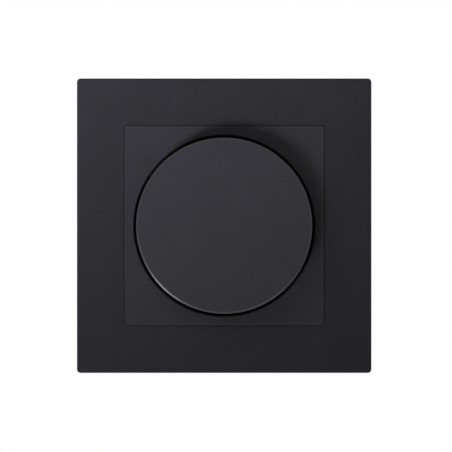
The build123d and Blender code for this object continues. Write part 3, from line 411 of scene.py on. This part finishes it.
# Cover frame
coverFrame = dict(
    size=81.0, depth=9.5, corner=1.0, edge=0.6, cavity=77.4, skinBack=7.1, collar=58.34, collarBack=6.1,
    ledge=53.2, ledgeFrom=0.5, opening=55.14, openingCorner=0.87, openingEdge=0.12, plateBack=7.5,
    rib=1.0, ribSpacing=40.0, ribBack=3.7, ribSunk=0.2,
)


def makeCoverFrame(d):
    piece = block("coverFrame", d["size"], 0, d["depth"])
    rounded(piece, standing, d["corner"], 6)
    rounded(piece, level(d["depth"]), d["edge"], 5)
    merge(piece, block("cavity", d["cavity"], -past, d["skinBack"]), "DIFFERENCE")
    merge(piece, block("collar", d["collar"], d["collarBack"], d["skinBack"] + sunk), "UNION")
    reach = (d["cavity"] + d["collar"]) / 4
    length = (d["cavity"] - d["collar"]) / 2 + 2 * d["ribSunk"]
    for quarter in range(4):
        for side in (-0.5, 0.5):
            angle = math.radians(90 * quarter)
            along = side * d["ribSpacing"]
            at = (
                reach * math.cos(angle) - along * math.sin(angle),
                reach * math.sin(angle) + along * math.cos(angle),
            )
            rib = block("rib", length, d["ribBack"], d["skinBack"] + sunk, d["rib"], at, 90 * quarter)
            merge(piece, rib, "UNION")
    merge(piece, block("ledge", d["ledge"], d["ledgeFrom"], d["depth"] + past), "DIFFERENCE")
    opening = block("opening", d["opening"], d["plateBack"], d["depth"] + past)
    rounded(opening, standing, d["openingCorner"], 6)
    merge(piece, opening, "DIFFERENCE")
    rounded(piece, level(d["depth"], d["opening"] / 2 + near), d["openingEdge"], 3)
    finishPiece(piece, "frame_plastic", "wall_insert", "cover_frame")


makeCoverFrame(coverFrame)

# Centre plate with the well that the knob sinks into
centrePlate = dict(
    size=55.0, corner=0.8, edge=0.2, front=9.5, back=7.5, well=24.85, wellWall=1.3, wellBack=3.4, wellSunk=0.7,
    floorFront=4.9, wellEdge=0.4, bore=5.1, boreSides=64, leg=2.6, legAt=23.5, legBack=0.2, web=1.2, webDepth=3.0,
)


def makeCentrePlate(d):
    def roundWell(corners):
        return level(d["front"])(corners) and all(math.hypot(x, z) < d["well"] + near for x, h, z in corners)

    piece = block("centrePlate", d["size"], d["back"], d["front"])
    rounded(piece, standing, d["corner"], 6)
    rounded(piece, level(d["front"]), d["edge"], 5)
    wall = disc("wellWall", d["well"] + d["wellWall"], d["wellBack"], d["front"] - d["wellSunk"])
    merge(piece, wall, "UNION")
    start = d["well"] + d["wellWall"] / 2
    end = d["legAt"] * math.sqrt(2)
    out = (start + end) / 2 / math.sqrt(2)
    top = d["back"] + sunk
    for x in (-1, 1):
        for z in (-1, 1):
            leg = block("leg", d["leg"], d["legBack"], top, None, (x * d["legAt"], z * d["legAt"]))
            merge(piece, leg, "UNION")
            turn = -45 if x == z else 45
            web = block("web", end - start, d["back"] - d["webDepth"], top, d["web"], (x * out, z * out), turn)
            merge(piece, web, "UNION")
    merge(piece, disc("well", d["well"], d["floorFront"], d["front"] + past), "DIFFERENCE")
    bore = disc("bore", d["bore"], d["wellBack"] - past, d["floorFront"] + past, d["boreSides"])
    merge(piece, bore, "DIFFERENCE")
    rounded(piece, roundWell, d["wellEdge"], 5)
    finishPiece(piece, "plate_plastic", "wall_insert", "centre_plate")


makeCentrePlate(centrePlate)

# Control knob: hollow, with a hub, six ribs and a bore with a flat
controlKnob = dict(
    radius=24.0, sides=192, front=18.5, back=7.1, edge=0.5, edgeDrop=0.15, edgeSoft=0.12, wall=1.6, faceBack=16.7,
    hub=4.7, hubBack=10.1, rib=1.0, ribBack=13.5, ribReach=23.25, bore=3.05, boreSides=64, flat=2.3,
    clipWidth=2.7, clipTop=2.7, clipSunk=0.2, crease=12,
)


def extrudeBy(height):  # the picked faces move this far towards the wall, with new walls behind them
    bpy.ops.mesh.extrude_region_move(TRANSFORM_OT_translate={"value": (0, height * mm, 0)})


def makeControlKnob(d):
    def outerRim(corners):
        x, h, z = corners[0]
        return h > d["front"] - near and math.hypot(x, z) > d["radius"] - near

    piece = disc("controlKnob", d["radius"], d["back"], d["front"], d["sides"])
    pick(piece, "faces", level(d["front"]))
    bpy.ops.mesh.inset(thickness=d["edge"] * mm)
    pick(piece, "verts", outerRim)
    bpy.ops.transform.translate(value=(0, d["edgeDrop"] * mm, 0))  # the rim of the face slopes back
    bpy.ops.object.mode_set(mode="OBJECT")
    rounded(piece, level(d["front"] - d["edgeDrop"]), d["edgeSoft"], 8)
    pick(piece, "faces", level(d["back"]))
    bpy.ops.mesh.inset(thickness=d["wall"] * mm)
    extrudeBy(d["back"] - d["faceBack"])
    bpy.ops.mesh.inset(thickness=(d["radius"] - d["wall"] - d["hub"]) * mm)
    extrudeBy(d["faceBack"] - d["hubBack"])
    bpy.ops.object.mode_set(mode="OBJECT")
    for turn in (0, 60, 120):
        rib = block("rib", 2 * d["ribReach"], d["ribBack"], d["faceBack"] + sunk, d["rib"], (0, 0), turn)
        merge(piece, rib, "UNION")
    bore = disc("bore", d["bore"], d["hubBack"] - past, d["faceBack"], d["boreSides"])
    pick(bore, "verts", lambda corners: corners[0][2] > d["flat"])
    bpy.ops.transform.resize(value=(1, 1, 0), center_override=(0, 0, d["flat"] * mm))
    bpy.ops.object.mode_set(mode="OBJECT")
    merge(piece, bore, "DIFFERENCE")
    low = d["flat"] - d["clipSunk"]
    rise = d["clipTop"] - low
    clip = block("clip", d["clipWidth"], d["hubBack"] - past, d["faceBack"], rise, (0, low + rise / 2))
    merge(piece, clip, "DIFFERENCE")
    finishPiece(piece, "knob_plastic", "knob", "control_knob", d["crease"])


makeControlKnob(controlKnob)

# Rear housing: the solid with the pin marks that moulding leaves on its back, and a gauge for stripping wires
rearHousing = dict(
    back=-25.55, mark=1.5, markSides=32, markDepth=0.15,
    markAt=((-17.0, 10.0), (17.0, 10.0), (-17.0, -12.0), (17.0, -12.0)),
    gauge=(10.0, 1.4), gaugeAt=(0.0, -12.5), gaugeDepth=0.5, crease=25,
)


def makeRearHousing(d):
    piece = copyOf("rear_housing", "rearHousing")
    behind = d["back"] - past
    for at in d["markAt"]:
        mark = disc("mark", d["mark"], behind, d["back"] + d["markDepth"], d["markSides"], at)
        merge(piece, mark, "DIFFERENCE")
    width, rise = d["gauge"]
    gauge = block("gauge", width, behind, d["back"] + d["gaugeDepth"], rise, d["gaugeAt"])
    merge(piece, gauge, "DIFFERENCE")
    finishPiece(piece, "housing_plastic", "wall_insert", "rear_housing", d["crease"])


makeRearHousing(rearHousing)

# Claw screws with a cut thread and a slotted head
clawScrew = dict(
    at=(24.5, -8.0), head=2.9, headSides=64, headBack=1.05, headFront=2.85, edge=0.5, slot=0.7, crest=1.5,
    root=1.2, rootSides=28, rootSunk=0.2, pitch=0.5, tip=-9.0, tipEdge=0.25, turns=19,
)


def sweptCoil(piece, turns, rise, steps, weld=0.0005):  # turns the profile round the y axis as it moves along it
    select(piece)
    sweep = piece.modifiers.new("sweep", "SCREW")
    sweep.axis = "Y"
    sweep.angle = 2 * math.pi * turns
    sweep.screw_offset = rise * mm
    sweep.steps = sweep.render_steps = round(steps * turns)
    sweep.use_merge_vertices = True
    sweep.merge_threshold = weld * mm
    bpy.ops.object.modifier_apply(modifier=sweep.name)
    bpy.ops.object.mode_set(mode="EDIT")
    bpy.ops.mesh.select_all(action="SELECT")
    bpy.ops.mesh.fill_holes(sides=0)


def makeClawScrew(d):
    bpy.ops.object.select_all(action="DESELECT")
    bpy.ops.mesh.primitive_plane_add(size=math.sqrt(2) * mm, rotation=(0, 0, math.pi / 4))
    thread = settle("thread")
    pick(thread, "verts", lambda corners: corners[0][0] < -0.5)
    bpy.ops.mesh.delete(type="VERT")  # leaves one ridge of the thread, pointing outwards
    bpy.ops.mesh.select_all(action="SELECT")
    bpy.ops.transform.resize(value=(d["crest"] - d["root"], d["pitch"] / 2, 1), center_override=(0, 0, 0))
    bpy.ops.transform.translate(value=(d["root"] * mm, (d["pitch"] / 2 - d["headBack"]) * mm, 0))
    bpy.ops.object.mode_set(mode="OBJECT")
    sweptCoil(thread, d["turns"], d["turns"] * d["pitch"], d["rootSides"])
    bpy.ops.transform.translate(value=(d["at"][0] * mm, 0, d["at"][1] * mm))
    bpy.ops.object.mode_set(mode="OBJECT")
    core = disc("core", d["root"], d["tip"], d["headBack"] + d["rootSunk"], d["rootSides"], d["at"])
    rounded(core, level(d["tip"]), d["tipEdge"], 1)
    piece = disc("clawScrewRight", d["head"], d["headBack"], d["headFront"], d["headSides"], d["at"])
    rounded(piece, level(d["headFront"]), d["edge"], 1)
    floor = d["headFront"] - d["slot"]  # the slot is as deep as it is wide
    slot = block("slot", 2 * d["head"] + past, floor, d["headFront"] + past, d["slot"], d["at"])
    merge(piece, slot, "DIFFERENCE")
    select(piece)
    thread.select_set(True)
    core.select_set(True)
    bpy.ops.object.join()
    twin = piece.copy()  # the left screw is the same piece half a turn round
    twin.data = piece.data.copy()
    scene.collection.objects.link(twin)
    select(twin)
    twin.rotation_euler = (0, math.pi, 0)
    settle("clawScrewLeft")
    finishPiece(piece, "zinc_steel", "right_claw_screw", "claw_screw_right")
    finishPiece(twin, "zinc_steel", "left_claw_screw", "claw_screw_left")


makeClawScrew(clawScrew)

# Return spring of round wire; the real spring shortens as the knob is pressed, which this script does not model
returnSpring = dict(
    radius=2.2, wire=0.4, wireSides=12, turns=3.5, turnSides=36, back=-14.35, length=3.1, press=1.5,
)


def makeReturnSpring(d):
    bpy.ops.object.select_all(action="DESELECT")
    bpy.ops.mesh.primitive_circle_add(
        vertices=d["wireSides"], radius=d["wire"] / 2 * mm,
        location=(d["radius"] * mm, -(d["back"] + d["wire"] / 2) * mm, 0),
    )
    piece = settle("returnSpring")
    sweptCoil(piece, d["turns"], d["wire"] - d["length"], d["turnSides"])
    bpy.ops.object.mode_set(mode="OBJECT")
    finishPiece(piece, "spring_steel", "wall_insert", "return_spring")
    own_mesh(piece)


makeReturnSpring(returnSpring)

# Camera square on to the front, as in the photograph
view = dict(aim=(0.0005, -0.0095, -0.00008), away=1.0, lens=289.7, sensor=36.0)


def makeCamera(d):
    x, y, z = d["aim"]
    bpy.ops.object.camera_add(location=(x, y - d["away"], z), rotation=(math.pi / 2, 0, 0))
    camera = bpy.context.object
    camera.data.lens = d["lens"]
    camera.data.sensor_width = d["sensor"]
    scene.camera = camera


makeCamera(view)

# Lamps: a gridded key at the left that is aimed above the part, so its light falls off to the lower right,
# a weak fill from the upper left, a flat one below for the knob's rim, and a wide one behind
lamps = dict(
    key=dict(
        place=(-0.448, -0.78, -0.105), aim=(-0.23, 0.0, 0.603), size=(0.70, 0.70), spread=50.0,
        power=10.7, colour=(0.96, 0.98, 1.04), mirrored=True,
    ),
    fill=dict(
        place=(-0.20, -0.40, 0.25), aim=(0.0, 0.0, 0.0), size=(0.35, 0.35), spread=180.0,
        power=0.59, colour=(1.08, 1.01, 0.92), mirrored=False,
    ),
    under=dict(
        place=(0.22, -0.78, -0.48), aim=(0.0, 0.0, 0.0), size=(0.40, 0.10), spread=180.0,
        power=0.45, colour=(1.0, 1.0, 1.0), mirrored=True,
    ),
    rear=dict(
        place=(0.45, 0.80, 0.50), aim=(0.0, 0.0, 0.0), size=(1.80, 1.80), spread=180.0,
        power=8.5, colour=(1.0, 1.0, 1.0), mirrored=False,
    ),
)


def makeLamps(group):
    for name, d in group.items():
        along = Vector(d["aim"]) - Vector(d["place"])
        turned = along.to_track_quat("-Z", "Y").to_euler()
        bpy.ops.object.light_add(type="AREA", location=d["place"], rotation=turned)
        lamp = bpy.context.object
        lamp.name = name
        lamp.visible_glossy = d["mirrored"]  # the others only lighten
        lamp.data.shape = "ELLIPSE"
        lamp.data.size, lamp.data.size_y = d["size"]
        lamp.data.spread = math.radians(d["spread"])
        lamp.data.energy = d["power"]
        lamp.data.color = d["colour"]


makeLamps(lamps)

# White surroundings for the camera and for reflections, dim ones for everything else
studio = dict(
    dim=0.12, white=(1.0, 1.0, 1.0), floor=-0.75, floorReach=9.0, floorSides=96,
    floorColour=(0.86, 0.86, 0.86), floorRough=0.8, floorGlow=0.94,
)


def seenRays(sig):  # one for what the camera, a reflection or a view through glass sees
    camera, glossy, through = (
        sig.node("LightPath", out=f"Is {kind} Ray") for kind in ("Camera", "Glossy", "Transmission")
    )
    return camera | glossy | through


def makeStudio(d):
    scene.world = bpy.data.worlds.new("studio")
    scene.world.use_nodes = True
    sig = Sig(scene.world.node_tree)
    sky = scene.world.node_tree.nodes["Background"]
    sig.join(sky.inputs["Color"], d["white"])
    sig.join(sky.inputs["Strength"], d["dim"] + (1 - d["dim"]) * seenRays(sig))
    bpy.ops.mesh.primitive_circle_add(
        vertices=d["floorSides"], radius=d["floorReach"], fill_type="NGON", location=(0, 0, d["floor"]),
    )
    floor = settle("floor")
    finish = bpy.data.materials.new("floorWhite")
    finish.use_nodes = True
    sig = Sig(finish.node_tree)
    shader = finish.node_tree.nodes["Principled BSDF"]
    sig.join(shader.inputs["Base Color"], d["floorColour"])
    sig.join(shader.inputs["Roughness"], d["floorRough"])
    lit = Sig(finish.node_tree, shader.outputs[0])
    glow = sig.node("Emission", {}, {"Color": d["white"]})
    mixed = sig.node("MixShader", {}, {0: seenRays(sig) * d["floorGlow"], 1: lit, 2: glow})
    sig.join(finish.node_tree.nodes["Material Output"].inputs["Surface"], mixed)
    floor.data.materials.append(finish)


makeStudio(studio)
print("camera, lamps and floor set")
